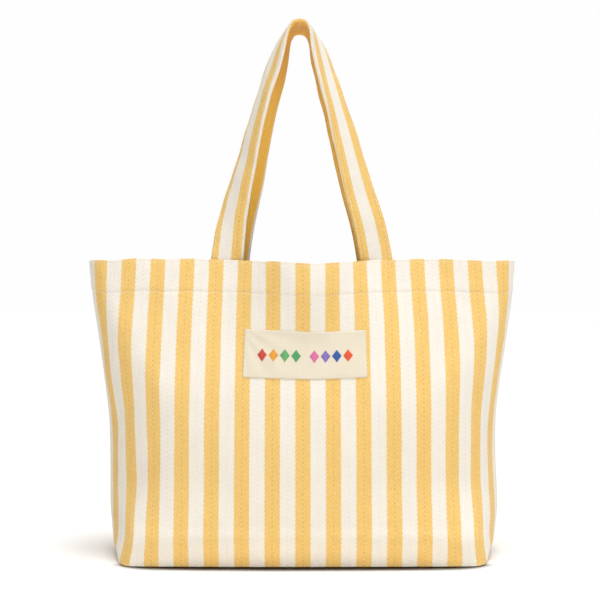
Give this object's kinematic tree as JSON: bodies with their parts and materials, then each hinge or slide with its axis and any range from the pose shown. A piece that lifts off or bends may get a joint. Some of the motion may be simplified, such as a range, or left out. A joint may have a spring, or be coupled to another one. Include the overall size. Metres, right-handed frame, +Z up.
{
  "type": "canvas tote bag",
  "caption": "Open-topped striped canvas shopping tote with a flat boxed base, a stitched label patch and two shoulder straps that swing on the folded top edge.",
  "frame": {"origin": "centre of the base, on the floor that the bag stands on", "axes": "+Z up, +X to the bag's right as its label is faced, -Y out of the front panel that carries the label"},
  "size_m": [0.512, 0.2038, 0.6274],
  "materials": {
    "striped_canvas": "herringbone canvas woven in equal yellow and cream stripes, matt",
    "strap_canvas": "the same striped canvas folded into a strap, matt",
    "label_cloth": "plain cream cotton, slightly wrinkled, matt",
    "binding_tape": "plain cotton tape, matt",
    "white_thread": "spun sewing thread, low sheen",
    "motif_red": "satin-stitch embroidery thread",
    "motif_orange": "satin-stitch embroidery thread",
    "motif_lime": "satin-stitch embroidery thread",
    "motif_green": "satin-stitch embroidery thread",
    "motif_pink": "satin-stitch embroidery thread",
    "motif_purple": "satin-stitch embroidery thread",
    "motif_blue": "satin-stitch embroidery thread",
    "motif_coral": "satin-stitch embroidery thread"
  },
  "bodies": {
    "bag": {"front_panel": "striped_canvas", "front_hem": "striped_canvas", "front_hem_stitching": "white_thread", "front_edge_stitching": "white_thread", "front_base_stitching": "white_thread", "front_strap_end_left": "strap_canvas", "front_strap_end_right": "strap_canvas", "back_panel": "striped_canvas", "back_hem": "striped_canvas", "back_hem_stitching": "white_thread", "back_edge_stitching": "white_thread", "back_base_stitching": "white_thread", "back_strap_end_left": "strap_canvas", "back_strap_end_right": "strap_canvas", "base_panel": "striped_canvas", "base_seam_binding": "binding_tape", "left_side_binding": "binding_tape", "right_side_binding": "binding_tape", "label_patch": "label_cloth", "label_stitching": "white_thread", "label_motif_1": "motif_red", "label_motif_2": "motif_orange", "label_motif_3": "motif_lime", "label_motif_4": "motif_green", "label_motif_5": "motif_pink", "label_motif_6": "motif_purple", "label_motif_7": "motif_blue", "label_motif_8": "motif_coral"},
    "front_strap": {"front_strap": "strap_canvas", "front_strap_inner_stitching": "white_thread", "front_strap_outer_stitching": "white_thread"},
    "back_strap": {"back_strap": "strap_canvas", "back_strap_inner_stitching": "white_thread", "back_strap_outer_stitching": "white_thread"}
  },
  "joints": [
    {"name": "front_strap_swing", "type": "hinge", "parent": "bag", "child": "front_strap", "pos_m": [0, -0.0305, 0.3445], "axis": [1, 0, 0], "range_deg": [0, 150]},
    {"name": "back_strap_swing", "type": "hinge", "parent": "bag", "child": "back_strap", "pos_m": [0, 0.0305, 0.3445], "axis": [-1, 0, 0], "range_deg": [0, 150]}
  ]
}
